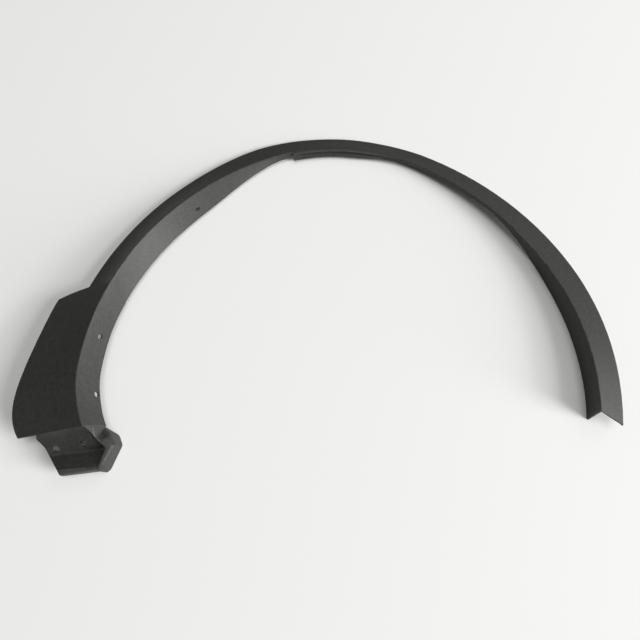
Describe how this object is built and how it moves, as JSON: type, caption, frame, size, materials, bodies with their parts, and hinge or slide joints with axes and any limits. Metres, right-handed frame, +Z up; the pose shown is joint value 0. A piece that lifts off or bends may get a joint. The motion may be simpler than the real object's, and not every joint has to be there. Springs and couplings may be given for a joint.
{
  "type": "wheel arch trim",
  "caption": "Curved plastic trim for a car's wheel arch, with a show band, an inner lip, a broad end panel and a fixing foot.",
  "frame": {"origin": "centre of the bounding box in plan, at the height of the surface the trim lies on", "axes": "+Z up, out of the show face of the trim as it lies; +X towards the end with the cut band, -X towards the foot; +Y towards the crown of the arch"},
  "size_m": [0.8864, 0.5654, 0.0579],
  "materials": {
    "plastic": "fine-grained matte black, as moulded"
  },
  "bodies": {
    "root": {"arch_trim": "plastic"}
  },
  "joints": []
}
